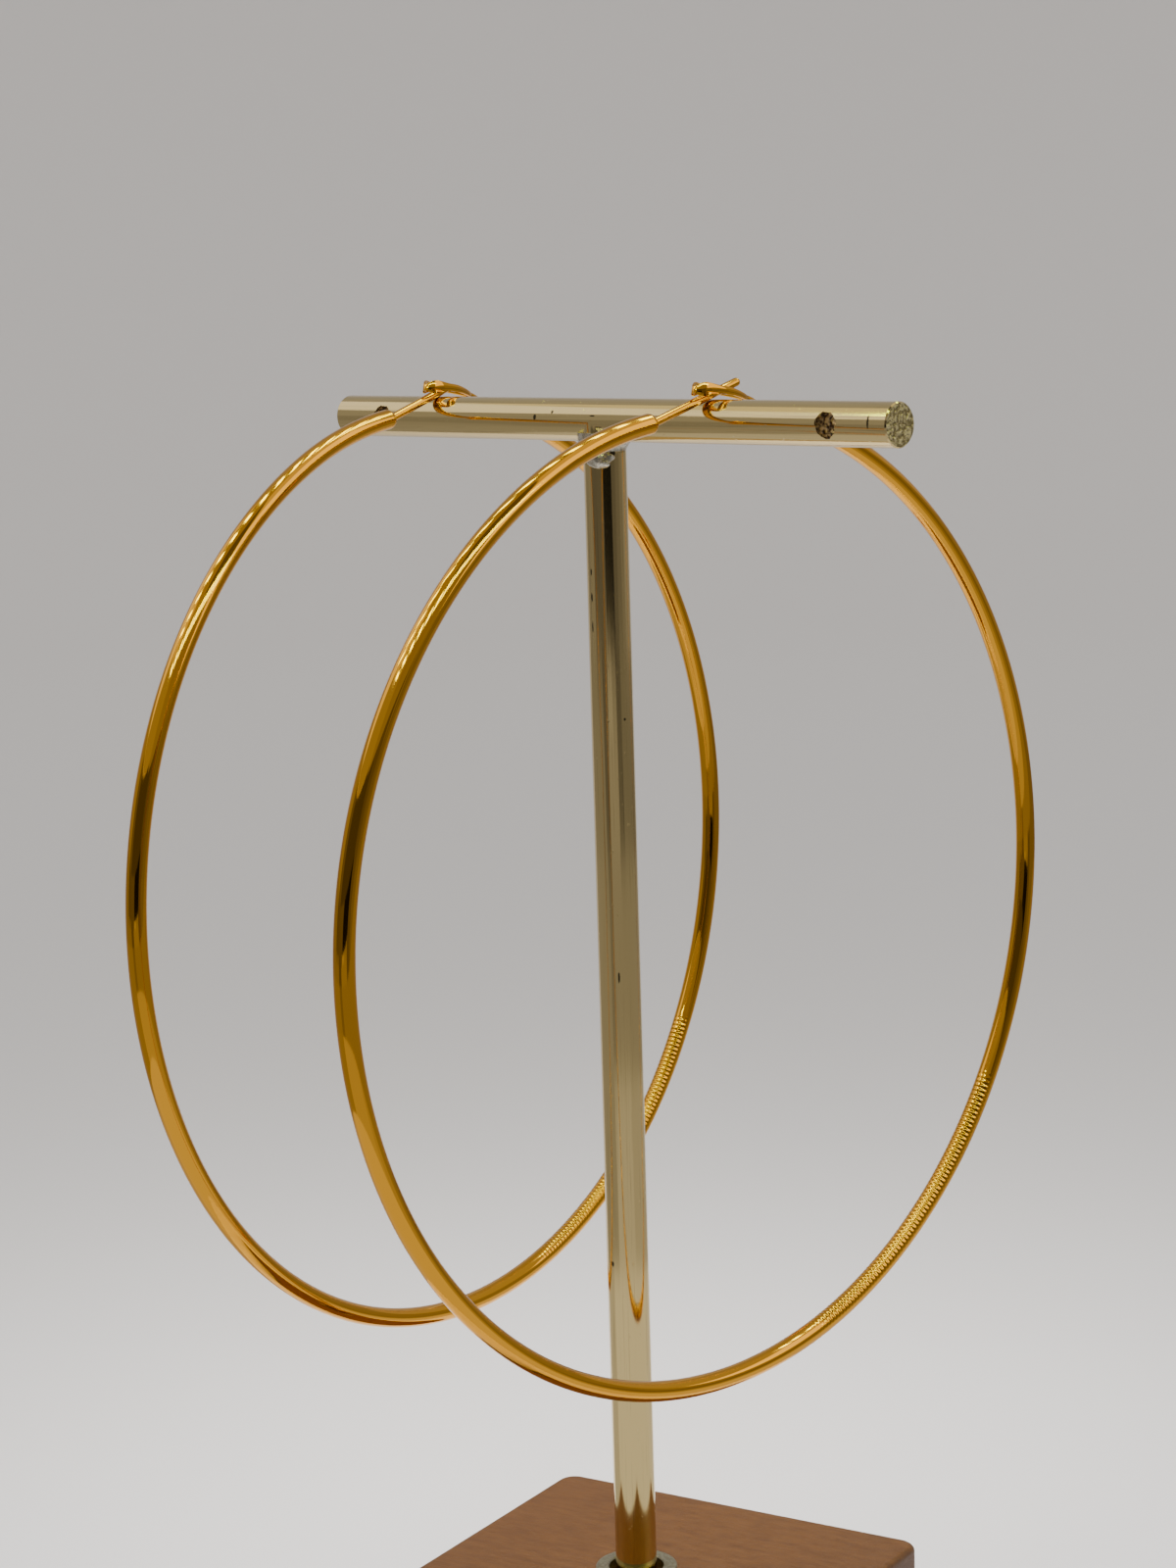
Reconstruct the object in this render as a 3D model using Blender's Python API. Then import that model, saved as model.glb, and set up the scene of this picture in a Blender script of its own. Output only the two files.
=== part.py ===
"""Pair of large tube hoop earrings hanging on a T-bar display stand with a wooden base.

Every length is in metres, +Z is up, and the origin is the centre of the base's underside.
The stand's cross bar lies along X. Each earring is a hollow tube bent to a circle, an ear wire
that is soldered to the plug in one tube end, and a catch, a bowed loop of strip with a stem,
in the other end. The wire lies over the bar, passes under the catch's front turn and comes up
through its loop.
"""
import math

import bmesh
import bpy
from mathutils import Matrix, Vector

# Hoop tube
HOOP_RADIUS = 0.0473
TUBE_RADIUS = 0.0010
TUBE_WALL = 0.00025
TUBE_SIDES = 12
TUBE_STEPS = 66
WIRE_END_SETBACK = 0.0077
CATCH_END_SETBACK = 0.0081
END_RUN = 0.0130
END_DRAW_IN = 0.00025
END_SIDE_SET = 0.0004

# Plugs that close the tube's two ends
PLUG_LENGTH = 0.00035
PLUG_DOME = 0.00035
SHANK_LENGTH = 0.0020

# Ear wire
WIRE_RADIUS = 0.00042
WIRE_RISE_DEG = 19.6
WIRE_TO_LOOP = 0.0102
WIRE_SIDES = 10

# Catch
CATCH_LENGTH = 0.01128
CATCH_SLOPE_DEG = 14.6
CATCH_BOW = 0.00079
CATCH_FRONT_HEIGHT = 0.0015
CATCH_MIDDLE_HEIGHT = 0.00076
CATCH_REAR_HEIGHT = 0.0005
CATCH_WIDE_RUN = 0.0030
CATCH_TIP_RUN = 0.0010
CATCH_STRIP = 0.00030
CATCH_STEM = 0.0034
CATCH_THROAT = 0.0012
CATCH_SIDE_ROOM = 0.00028
CATCH_SIDE_SET = 0.00105
CATCH_STEPS = 32

# Stand
ROD_RADIUS = 0.0021
ROD_CHAMFER = 0.00015
ROD_SIDES = 32
BAR_LENGTH = 0.0731
HOLE_RADIUS = 0.00115
HOLE_INSET = 0.0070
HOLE_SIDES = 20
HOOP_FLOOR_ROOM = 0.02375
SOCKET_DEPTH = 0.0100
SOLDER_RADIUS = 0.0027
SOLDER_HEIGHT = 0.0010

# Ferrule round the post's foot
FERRULE_RADIUS = 0.0042
FERRULE_ROOM = 0.0007
FERRULE_HEIGHT = 0.0014
FERRULE_CHAMFER = 0.0003
FERRULE_SIDES = 32

# Wooden base
BASE_SIDE = 0.0434
BASE_HEIGHT = 0.0150
BASE_TURN_DEG = 12.6
BASE_CORNER = 0.0018
BASE_EDGE = 0.0006

# Clearances between pieces that touch
FIT_GAP = 0.0003

# Where each earring hangs: share of the bar's arm, forward shift, turn about Z and lean about Y,
# and how long its ear wire is
HANG = {
    "front": {"arm_share": 0.375, "shift": 0.0, "turn_deg": -1.5, "lean_deg": -0.36, "wire": 0.0114},
    "rear": {"arm_share": -0.634, "shift": 0.0, "turn_deg": 7.8, "lean_deg": -0.55, "wire": 0.0089},
}

GOLD = ((0.80, 0.50, 0.14), 0.15, 1.0)
PALE_BRASS = ((0.66, 0.61, 0.46), 0.22, 1.0)
AGED_METAL = ((0.36, 0.33, 0.24), 0.40, 1.0)
WOOD = ((0.33, 0.15, 0.07), 0.55, 0.0)

BORE_RADIUS = TUBE_RADIUS - TUBE_WALL
SHANK_RADIUS = BORE_RADIUS - FIT_GAP
WIRE_END = -WIRE_END_SETBACK / HOOP_RADIUS
CATCH_END = CATCH_END_SETBACK / HOOP_RADIUS
PLUG_SPAN = (PLUG_LENGTH + PLUG_DOME + FIT_GAP) / HOOP_RADIUS
WIRE_RISE = math.radians(WIRE_RISE_DEG)
CATCH_SLOPE = math.radians(CATCH_SLOPE_DEG)


def clear_scene():
    """Remove every object that the scene starts with."""
    for obj in list(bpy.data.objects):
        bpy.data.objects.remove(obj, do_unlink=True)


def finish_material(name, look):
    """A Principled material of one base colour, roughness and metallic value."""
    colour, roughness, metallic = look
    material = bpy.data.materials.new(name + "_finish")
    material.use_nodes = True
    shader = material.node_tree.nodes["Principled BSDF"]
    shader.inputs["Base Color"].default_value = (*colour, 1.0)
    shader.inputs["Roughness"].default_value = roughness
    shader.inputs["Metallic"].default_value = metallic
    return material


def new_object(name, mesh, look=None, smooth_deg=40.0):
    """Link a mesh as a named object, shaded smooth where its faces meet softly."""
    mesh.shade_smooth()
    mesh.set_sharp_from_angle(angle=math.radians(smooth_deg))
    obj = bpy.data.objects.new(name, mesh)
    bpy.context.scene.collection.objects.link(obj)
    if look is not None:
        mesh.materials.append(finish_material(name, look))
    return obj


def mesh_of(name, bm):
    """Turn a bmesh into a mesh with its faces pointing outwards."""
    bmesh.ops.recalc_face_normals(bm, faces=bm.faces)
    mesh = bpy.data.meshes.new(name)
    bm.to_mesh(mesh)
    bm.free()
    return mesh


def bridge(bm, ring_a, ring_b):
    """Join two rings of as many vertices with quads."""
    count = len(ring_a)
    for i in range(count):
        j = (i + 1) % count
        bm.faces.new((ring_a[i], ring_a[j], ring_b[j], ring_b[i]))


def section(centre, tangent, radius, sides):
    """A circle of points round a centre in the hoop's plane, square to a tangent angle there."""
    normal = Vector((0.0, -math.sin(tangent), math.cos(tangent)))
    side = Vector((1.0, 0.0, 0.0))
    ring = []
    for i in range(sides):
        turn = 2.0 * math.pi * (i + 0.5) / sides
        ring.append(centre + radius * (math.cos(turn) * side + math.sin(turn) * normal))
    return ring


def loft_round(name, stations, sides):
    """A closed solid through circular sections, given as centre, tangent angle and radius."""
    bm = bmesh.new()
    rings = [[bm.verts.new(p) for p in section(*station, sides)] for station in stations]
    for ring_a, ring_b in zip(rings, rings[1:]):
        bridge(bm, ring_a, ring_b)
    bm.faces.new(rings[0])
    bm.faces.new(rings[-1])
    return mesh_of(name, bm)


def on_hoop(angle):
    """The point of the hoop's centre line at an angle from the top, towards +Y.

    Near its two ends the tube is a little straighter than the circle and springs to one side.
    """
    from_top = abs((angle + math.pi) % (2.0 * math.pi) - math.pi) * HOOP_RADIUS
    spring = min(max(0.0, 1.0 - (from_top - WIRE_END_SETBACK) / END_RUN), 1.0) ** 2
    radius = HOOP_RADIUS - END_DRAW_IN * spring
    return Vector((END_SIDE_SET * spring, radius * math.sin(angle), radius * math.cos(angle)))


def tube_mesh():
    """The hollow tube, from the wire's plug round the bottom to the catch's plug."""
    start = CATCH_END + PLUG_SPAN
    stop = 2.0 * math.pi + WIRE_END - PLUG_SPAN
    bm = bmesh.new()
    outer, inner = [], []
    for i in range(TUBE_STEPS + 1):
        angle = start + (stop - start) * i / TUBE_STEPS
        for rings, radius in ((outer, TUBE_RADIUS), (inner, BORE_RADIUS)):
            ring = section(on_hoop(angle), -angle, radius, TUBE_SIDES)
            rings.append([bm.verts.new(p) for p in ring])
    for rings in (outer, inner):
        for ring_a, ring_b in zip(rings, rings[1:]):
            bridge(bm, ring_a, ring_b)
    bridge(bm, outer[0], inner[0])
    bridge(bm, outer[-1], inner[-1])
    return mesh_of("hoop_tube", bm)


def plug_stations(end_angle, outward, neck_radius):
    """The shank in the bore, the shoulder and the domed plug, out to a neck of the next radius.

    end_angle is where the dome ends, and outward is +1 where the path leaves towards +Y.
    """
    steps = (
        (-PLUG_DOME - PLUG_LENGTH - FIT_GAP - SHANK_LENGTH, SHANK_RADIUS),
        (-PLUG_DOME - PLUG_LENGTH, SHANK_RADIUS),
        (-PLUG_DOME - PLUG_LENGTH, TUBE_RADIUS),
        (-PLUG_DOME, TUBE_RADIUS),
        (-PLUG_DOME * 0.45, neck_radius + (TUBE_RADIUS - neck_radius) * 0.80),
        (0.0, neck_radius + (TUBE_RADIUS - neck_radius) * 0.25),
        (PLUG_DOME * 0.6, neck_radius),
    )
    stations = []
    for along, radius in steps:
        angle = end_angle + outward * along / HOOP_RADIUS
        stations.append((on_hoop(angle), -angle, radius))
    return stations


def wire_mesh(length):
    """The ear wire: its plug in the tube's end, a straight run of a length and a rounded tip."""
    stations = plug_stations(WIRE_END, 1.0, WIRE_RADIUS)
    start = on_hoop(WIRE_END)
    lean = (CATCH_SIDE_SET - start.x) / WIRE_TO_LOOP
    along = Vector((lean, math.cos(WIRE_RISE), math.sin(WIRE_RISE)))
    tip_steps = [(WIRE_RADIUS * 3.0, 1.0), (length - WIRE_RADIUS, 1.0)]
    for turn_deg in (30.0, 55.0, 78.0):
        turn = math.radians(turn_deg)
        reach = length - WIRE_RADIUS * (1.0 - math.sin(turn))
        tip_steps.append((reach, math.cos(turn)))
    for reach, share in tip_steps:
        stations.append((start + reach * along, WIRE_RISE, WIRE_RADIUS * share))
    return loft_round("ear_wire", stations, WIRE_SIDES)


def catch_point(along, side, above):
    """A point of the bowed catch: along its chord from the tube's end, to a side and above.

    The catch stands to the side on which the tube's ends spring, by the loop's rear in full.
    """
    share = along / CATCH_LENGTH
    root = on_hoop(CATCH_END)
    set_share = min(along / CATCH_STEM, 1.0)
    side += (CATCH_SIDE_SET - root.x) * set_share
    height = above + 4.0 * CATCH_BOW * share * (1.0 - share)
    back = Vector((0.0, -math.cos(CATCH_SLOPE), math.sin(CATCH_SLOPE)))
    up = Vector((0.0, math.sin(CATCH_SLOPE), math.cos(CATCH_SLOPE)))
    return root + along * back + height * up + side * Vector((1.0, 0.0, 0.0))


def catch_stem_mesh():
    """The catch's plug in the tube's end and the stem that runs on into the loop."""
    stations = plug_stations(CATCH_END, -1.0, WIRE_RADIUS)
    for share in (0.35, 0.7, 1.0):
        along = (CATCH_STEM + CATCH_THROAT / 2.0) * share
        bow_slope = 4.0 * CATCH_BOW / CATCH_LENGTH * (1.0 - 2.0 * along / CATCH_LENGTH)
        stations.append((catch_point(along, 0.0, 0.0), -CATCH_SLOPE - math.atan(bow_slope), WIRE_RADIUS))
    return loft_round("catch_stem", stations, WIRE_SIDES)


def catch_height(along):
    """The strip's height at a place along the loop: it widens to its rounded front turn."""
    share = (along - CATCH_STEM) / (CATCH_LENGTH - CATCH_STEM)
    height = CATCH_REAR_HEIGHT + (CATCH_MIDDLE_HEIGHT - CATCH_REAR_HEIGHT) * min(2.0 * share, 1.0)
    wide = max(0.0, 1.0 - (CATCH_LENGTH - along) / CATCH_WIDE_RUN)
    height += (CATCH_FRONT_HEIGHT - height) * wide * wide * (3.0 - 2.0 * wide)
    tip = max(0.0, 1.0 - (CATCH_LENGTH - along) / CATCH_TIP_RUN)
    return height * math.sqrt(max(0.12, 1.0 - 0.8 * tip * tip))


def teardrop(rear, front, half_width, turn):
    """A point of a loop that is round in front and narrow at the rear, as along and side."""
    along = rear + (front - rear) * (1.0 - math.cos(turn)) / 2.0
    return along, half_width * math.sin(turn) * abs(math.sin(turn / 2.0)) ** 0.7


def catch_loop_mesh():
    """The loop of upright strip that the wire comes up through."""
    inner_half = WIRE_RADIUS + FIT_GAP + CATCH_SIDE_ROOM
    outer_half = inner_half + CATCH_STRIP
    inner_rear = CATCH_STEM + CATCH_THROAT
    inner_front = CATCH_LENGTH - CATCH_STRIP
    bm = bmesh.new()
    rings = []
    for i in range(CATCH_STEPS):
        turn = 2.0 * math.pi * (i + 0.5) / CATCH_STEPS
        outer = teardrop(CATCH_STEM, CATCH_LENGTH, outer_half, turn)
        inner = teardrop(inner_rear, inner_front, inner_half, turn)
        corners = ((outer, -0.5), (outer, 0.5), (inner, 0.5), (inner, -0.5))
        rings.append([bm.verts.new(catch_point(*at, level * catch_height(at[0]))) for at, level in corners])
    for ring_a, ring_b in zip(rings, rings[1:] + rings[:1]):
        bridge(bm, ring_a, ring_b)
    return mesh_of("catch_loop", bm)


def hide_operand(obj):
    """Mark an object as a tool of a Boolean, not a piece."""
    obj.hide_render = True
    obj.display_type = "WIRE"


def combine(obj, operand, operation):
    """Add an exact Boolean of an operand to an object."""
    modifier = obj.modifiers.new(operation.lower() + "_" + operand.name, "BOOLEAN")
    modifier.operation = operation
    modifier.solver = "EXACT"
    modifier.object = operand
    hide_operand(operand)


def cylinder(name, radius, length, sides, matrix, chamfer=0.0, look=None):
    """A cylinder along a matrix's Z axis, centred on it, with chamfered rims if asked."""
    bm = bmesh.new()
    bmesh.ops.create_cone(bm, cap_ends=True, segments=sides, radius1=radius, radius2=radius, depth=length)
    if chamfer > 0.0:
        rims = [e for e in bm.edges if abs(e.verts[0].co.z - e.verts[1].co.z) < length / 4.0]
        bmesh.ops.bevel(bm, geom=rims, offset=chamfer, segments=1, affect="EDGES", profile=0.5)
    bmesh.ops.transform(bm, matrix=matrix, verts=bm.verts)
    return new_object(name, mesh_of(name, bm), look)


def wire_foot():
    """How far the wire's axis rises above the hoop's centre, measured square to the wire."""
    start = on_hoop(WIRE_END)
    return start.z * math.cos(WIRE_RISE) - start.y * math.sin(WIRE_RISE)


def hang_drop(shift):
    """How far the hoop's centre hangs below the bar's axis when the wire lies over the bar."""
    reach = ROD_RADIUS + FIT_GAP + WIRE_RADIUS
    return (wire_foot() - reach - shift * math.sin(WIRE_RISE)) / math.cos(WIRE_RISE)


BAR_HEIGHT = BASE_HEIGHT + HOOP_FLOOR_ROOM + TUBE_RADIUS + HOOP_RADIUS + hang_drop(0.0)


def make_earring(side, meshes):
    """One earring, hung over the bar: an empty that carries its tube, wire and catch."""
    hang = HANG[side]
    holder = bpy.data.objects.new(side + "_earring", None)
    bpy.context.scene.collection.objects.link(holder)
    arm = BAR_LENGTH / 2.0
    holder.location = (arm * hang["arm_share"], hang["shift"], BAR_HEIGHT - hang_drop(hang["shift"]))
    holder.rotation_euler = (0.0, math.radians(hang["lean_deg"]), math.radians(hang["turn_deg"]))
    pieces = {}
    for part, mesh in meshes.items():
        look = GOLD if part != "catch_stem" else None
        pieces[part] = new_object(side + "_" + part, mesh, look)
        pieces[part].parent = holder
    combine(pieces["catch"], pieces["catch_stem"], "UNION")


def make_rod():
    """The T of one rod: cross bar, post soldered under it and the bar's two cross holes."""
    along_x = Matrix.Rotation(math.pi / 2.0, 4, "Y")
    along_y = Matrix.Rotation(math.pi / 2.0, 4, "X")
    at_bar = Matrix.Translation((0.0, 0.0, BAR_HEIGHT))
    bar = cylinder("stand_rod", ROD_RADIUS, BAR_LENGTH, ROD_SIDES, at_bar @ along_x, ROD_CHAMFER, PALE_BRASS)
    foot = BASE_HEIGHT - SOCKET_DEPTH
    post_at = Matrix.Translation((0.0, 0.0, (foot + BAR_HEIGHT) / 2.0))
    combine(bar, cylinder("post", ROD_RADIUS, BAR_HEIGHT - foot, ROD_SIDES, post_at), "UNION")
    solder = bmesh.new()
    bmesh.ops.create_cone(
        solder, cap_ends=True, segments=ROD_SIDES, radius1=ROD_RADIUS * 0.98, radius2=SOLDER_RADIUS,
        depth=ROD_RADIUS + SOLDER_HEIGHT,
    )
    drop = BAR_HEIGHT - (ROD_RADIUS + SOLDER_HEIGHT) / 2.0 - ROD_RADIUS * 0.45
    bmesh.ops.transform(solder, matrix=Matrix.Translation((0.0, 0.0, drop)), verts=solder.verts)
    combine(bar, new_object("solder", mesh_of("solder", solder)), "UNION")
    for index, end in enumerate((-1.0, 1.0)):
        hole_at = Matrix.Translation((end * (BAR_LENGTH / 2.0 - HOLE_INSET), 0.0, BAR_HEIGHT))
        name = "hole_" + str(index)
        cutter = cylinder(name, HOLE_RADIUS, ROD_RADIUS * 4.0, HOLE_SIDES, hole_at @ along_y)
        combine(bar, cutter, "DIFFERENCE")


def make_ferrule():
    """The flat ring on the base round the post's foot."""
    inner = ROD_RADIUS + FERRULE_ROOM
    low = BASE_HEIGHT + FIT_GAP
    high = BASE_HEIGHT + FERRULE_HEIGHT
    profile = (
        (inner, low),
        (FERRULE_RADIUS, low),
        (FERRULE_RADIUS, high - FERRULE_CHAMFER),
        (FERRULE_RADIUS - FERRULE_CHAMFER, high),
        (inner, high),
    )
    bm = bmesh.new()
    rings = []
    for i in range(FERRULE_SIDES):
        turn = 2.0 * math.pi * i / FERRULE_SIDES
        rings.append([bm.verts.new((r * math.cos(turn), r * math.sin(turn), z)) for r, z in profile])
    for ring_a, ring_b in zip(rings, rings[1:] + rings[:1]):
        bridge(bm, ring_a, ring_b)
    new_object("base_ferrule", mesh_of("base_ferrule", bm), AGED_METAL)


def make_base():
    """The square wooden block with its socket for the post."""
    bm = bmesh.new()
    bmesh.ops.create_cube(bm, size=1.0)
    size = Matrix.Diagonal((BASE_SIDE, BASE_SIDE, BASE_HEIGHT, 1.0))
    bmesh.ops.transform(bm, matrix=Matrix.Translation((0.0, 0.0, BASE_HEIGHT / 2.0)) @ size, verts=bm.verts)
    upright = [e for e in bm.edges if abs(e.verts[0].co.z - e.verts[1].co.z) > BASE_HEIGHT / 2.0]
    bmesh.ops.bevel(bm, geom=upright, offset=BASE_CORNER, segments=4, affect="EDGES", profile=0.5)
    flat = [f for f in bm.faces if abs(f.normal.z) > 0.9]
    rims = list({e for f in flat for e in f.edges})
    bmesh.ops.bevel(bm, geom=rims, offset=BASE_EDGE, segments=2, affect="EDGES", profile=0.5)
    turn = Matrix.Rotation(math.radians(BASE_TURN_DEG), 4, "Z")
    bmesh.ops.transform(bm, matrix=turn, verts=bm.verts)
    base = new_object("wood_base", mesh_of("wood_base", bm), WOOD)
    depth = SOCKET_DEPTH + FIT_GAP
    socket_at = Matrix.Translation((0.0, 0.0, BASE_HEIGHT))
    cutter = cylinder("socket", ROD_RADIUS + FIT_GAP, depth * 2.0, ROD_SIDES, socket_at)
    combine(base, cutter, "DIFFERENCE")


def main():
    """Build the pair of earrings and the stand that carries them."""
    clear_scene()
    for side, hang in HANG.items():
        make_earring(side, {
            "hoop_tube": tube_mesh(),
            "ear_wire": wire_mesh(hang["wire"]),
            "catch": catch_loop_mesh(),
            "catch_stem": catch_stem_mesh(),
        })
    make_rod()
    make_ferrule()
    make_base()


main()
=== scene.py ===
"""Studio picture of a pair of tube hoop earrings hanging on a T-bar stand with a wooden base.

Every length is in metres in the row frame: +Z up, the cross bar along X, and the origin at the
centre of the base's underside.
"""
import logging
from dataclasses import dataclass
from enum import Enum
from math import asin, atan, atan2, copysign, cos, degrees, hypot, pi, radians, sin, sqrt, tau

import bmesh
import bpy
from mathutils import Matrix, Vector


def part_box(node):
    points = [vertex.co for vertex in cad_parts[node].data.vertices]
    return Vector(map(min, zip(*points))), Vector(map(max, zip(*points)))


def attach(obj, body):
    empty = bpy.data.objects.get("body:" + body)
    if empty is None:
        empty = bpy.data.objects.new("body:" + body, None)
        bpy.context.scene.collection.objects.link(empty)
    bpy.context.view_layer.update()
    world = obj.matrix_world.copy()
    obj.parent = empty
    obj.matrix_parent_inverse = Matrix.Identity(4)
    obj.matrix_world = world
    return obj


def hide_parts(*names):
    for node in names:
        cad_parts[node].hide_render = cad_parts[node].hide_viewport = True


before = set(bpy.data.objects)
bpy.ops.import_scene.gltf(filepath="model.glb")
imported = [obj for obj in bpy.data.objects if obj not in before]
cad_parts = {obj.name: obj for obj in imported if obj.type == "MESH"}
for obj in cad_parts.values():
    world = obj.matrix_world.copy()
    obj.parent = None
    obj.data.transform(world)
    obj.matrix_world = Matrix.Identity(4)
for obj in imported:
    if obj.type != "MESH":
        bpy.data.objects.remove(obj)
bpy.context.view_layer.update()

logging.basicConfig(level=logging.INFO, format="%(message)s")
LOG = logging.getLogger("earring_stand")

X_AXIS = Vector((1.0, 0.0, 0.0))
Z_AXIS = Vector((0.0, 0.0, 1.0))
TOUCH = 0.00002  # The gap that stands for metal in contact.

Pair = tuple[float, float]
Triple = tuple[float, float, float]
Look = bpy.types.Material
Piece = bpy.types.Object
Ring = list[bmesh.types.BMVert]
Socket = bpy.types.NodeSocket
Stations = list[tuple[Vector, float, float]]


def clamped(value: float) -> float:
    """The value, kept from 0 to 1."""
    return min(max(value, 0.0), 1.0)


def quarter(steps: int) -> list[Pair]:
    """The cosine and the sine at each step of a quarter turn, with both its ends."""
    turns = [pi / 2.0 * step / steps for step in range(steps + 1)]
    return [(cos(turn), sin(turn)) for turn in turns]


# Finishes.


class NodeSketch:
    """The node tree of one material, with short ways to add and join nodes."""

    def __init__(self, name: str) -> None:
        """Start a material that holds only a Principled shader and its output.

        Args:
            name: The material's name.
        """
        self.material = bpy.data.materials.new(name)
        self.material.use_nodes = True
        self.tree = self.material.node_tree
        self.shader = self.tree.nodes["Principled BSDF"]

    def add(self, kind: str, inputs: dict[str, object] | None = None, **settings: object) -> bpy.types.Node:
        """Add a node.

        Args:
            kind: Blender's type name of the node.
            inputs: Values for its input sockets, by socket name.
            **settings: Values for the node's own properties.

        Returns:
            The new node.
        """
        node = self.tree.nodes.new(kind)
        for key, value in settings.items():
            setattr(node, key, value)
        for key, value in (inputs or {}).items():
            node.inputs[key].default_value = value
        return node

    def join(self, source: Socket, target: Socket) -> None:
        """Link an output socket to an input socket."""
        self.tree.links.new(source, target)

    def set_shader(self, **values: object) -> None:
        """Set the Principled shader's sockets, with underscores in place of spaces."""
        for key, value in values.items():
            self.shader.inputs[key.replace("_", " ")].default_value = value

    def calc(self, operation: str, *values: Socket | float) -> Socket:
        """The result of a sum.

        Args:
            operation: Blender's name of the sum.
            *values: What goes in, as sockets or as plain numbers.

        Returns:
            The socket that carries the result.
        """
        node = self.add("ShaderNodeMath", operation=operation)
        for value, target in zip(values, node.inputs):
            if isinstance(value, float):
                target.default_value = value
            else:
                self.join(value, target)
        return node.outputs[0]

    def local(self, stretch: Triple, origin: Triple | None = None) -> Socket:
        """The object's own coordinates, scaled along each axis.

        Args:
            stretch: Scale along X, Y and Z.
            origin: The place that they are taken from, where it isn't the object's own.

        Returns:
            The socket that carries the coordinates.
        """
        source = self.add("ShaderNodeTexCoord").outputs["Object"]
        for operation, value in (("SUBTRACT", origin), ("MULTIPLY", stretch)):
            if value is not None:
                node = self.add("ShaderNodeVectorMath", operation=operation)
                node.inputs[1].default_value = value
                self.join(source, node.inputs[0])
                source = node.outputs[0]
        return source

    def noise(self, stretch: Triple, detail: float = 4.0, rough: float = 0.5) -> Socket:
        """A noise pattern over the object's own coordinates.

        Args:
            stretch: Scale along X, Y and Z.
            detail: Octaves of the noise.
            rough: How much the fine octaves count.

        Returns:
            The socket that carries the noise value.
        """
        node = self.add("ShaderNodeTexNoise", {"Scale": 1.0, "Detail": detail, "Roughness": rough})
        self.join(self.local(stretch), node.inputs["Vector"])
        return node.outputs["Fac"]

    def paint(self, source: Socket, *stops: tuple[float, Triple]) -> None:
        """Colour the surface by a value.

        Args:
            source: The value's socket.
            *stops: Two or more places from 0 to 1 with their colours.
        """
        node = self.add("ShaderNodeValToRGB")
        points = node.color_ramp.elements
        while len(points) < len(stops):
            points.new(0.5)
        for point, (place, colour) in zip(points, stops):
            point.position = place
            point.color = (*colour, 1.0)
        self.join(source, node.inputs["Fac"])
        self.join(node.outputs["Color"], self.shader.inputs["Base Color"])

    def span(self, source: Socket, low: float, high: float, to_low: float, to_high: float) -> Socket:
        """Map a value from one range to another, clamped.

        Args:
            source: The value's socket.
            low: The source value that gives to_low.
            high: The source value that gives to_high.
            to_low: The result at low.
            to_high: The result at high.

        Returns:
            The socket that carries the mapped value.
        """
        limits = {"From Min": low, "From Max": high, "To Min": to_low, "To Max": to_high}
        node = self.add("ShaderNodeMapRange", limits)
        self.join(source, node.inputs["Value"])
        return node.outputs["Result"]

    def spot(self, place: Triple, reach: Triple) -> Socket:
        """A ragged spot round a place on the object.

        Args:
            place: Its middle, in the object's own coordinates.
            reach: How far it reaches along X, Y and Z.

        Returns:
            The socket that is 1 within the spot and 0 outside it.
        """
        length = self.add("ShaderNodeVectorMath", operation="LENGTH")
        self.join(self.local(tuple(1.0 / part for part in reach), place), length.inputs[0])
        ragged = self.calc("ADD", length.outputs["Value"], self.noise((6000.0, 6000.0, 6000.0), 3.0))
        return self.span(ragged, 1.25, 1.5, 1.0, 0.0)

    def bump(self, height: Socket, depth: float, strength: float = 1.0) -> None:
        """Bump the surface by a height pattern, over any bump it already has.

        Args:
            height: The socket of the height, from 0 to 1.
            depth: The height's depth in metres.
            strength: How much of it shows, from 0 to 1.
        """
        node = self.add("ShaderNodeBump", {"Strength": strength, "Distance": depth})
        self.join(height, node.inputs["Height"])
        before = self.shader.inputs["Normal"].links
        if before:
            self.join(before[0].from_socket, node.inputs["Normal"])
        self.join(node.outputs["Normal"], self.shader.inputs["Normal"])


class Finish:
    """A finish, which is built as one material."""

    def build(self, name: str) -> Look:
        """Build the material.

        Args:
            name: The material's name.

        Returns:
            The material.
        """
        sketch = NodeSketch(name)
        self.dress(sketch)
        return sketch.material

    def dress(self, sketch: NodeSketch) -> None:
        """Draw the material's nodes, as each finish does in its own way."""
        raise NotImplementedError


@dataclass(frozen=True)
class PolishedGold(Finish):
    """Mirror-bright gold plate, with the fine cross ripples that bending leaves in a tube."""

    colour: Triple = (0.70, 0.33, 0.025)
    roughness: float = 0.06
    waviness: float = 0.0000012
    ripple_pitch: float = 0.00052
    ripple_depth: float = 0.000022

    def dress(self, sketch: NodeSketch) -> None:
        """Draw the material's nodes.

        Args:
            sketch: The material that they go into.
        """
        sketch.set_shader(Base_Color=(*self.colour, 1.0), Roughness=self.roughness, Metallic=1.0)
        sketch.bump(sketch.noise((900.0, 900.0, 900.0), 3.0), self.waviness)
        names = ("arc", "inner_side")
        arc, inner = (sketch.add("ShaderNodeAttribute", attribute_name=name).outputs["Fac"] for name in names)
        wave = sketch.calc("SINE", sketch.calc("MULTIPLY", arc, tau / self.ripple_pitch))
        sketch.bump(sketch.calc("MULTIPLY", wave, inner), self.ripple_depth)


@dataclass(frozen=True)
class Mark:
    """A small dark spot painted into a metal's colour: its middle and how far it reaches."""

    place: Triple
    reach: Triple


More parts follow.
